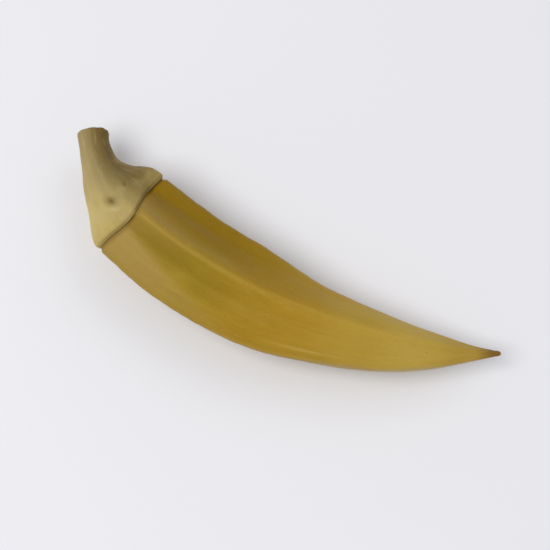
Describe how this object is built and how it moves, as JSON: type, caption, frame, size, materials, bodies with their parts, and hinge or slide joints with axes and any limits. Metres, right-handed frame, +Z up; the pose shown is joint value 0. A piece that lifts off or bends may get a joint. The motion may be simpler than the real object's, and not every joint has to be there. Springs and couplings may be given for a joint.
{
  "type": "okra pod",
  "caption": "Whole pickled okra pod lying on its side: a curved, ribbed pod that tapers to a point, with a pale stem cap and a short cut stem.",
  "frame": {"origin": "middle of the footprint, on the surface that the pod lies on", "axes": "+X from the cut stem towards the pointed tip, +Y towards the hollow side of the pod's curve, +Z up"},
  "size_m": [0.0762, 0.0258, 0.0159],
  "materials": {
    "pod_skin": "satin",
    "cap_skin": "satin"
  },
  "bodies": {
    "root": {"pod": "pod_skin", "stem_cap": "cap_skin"}
  },
  "joints": []
}
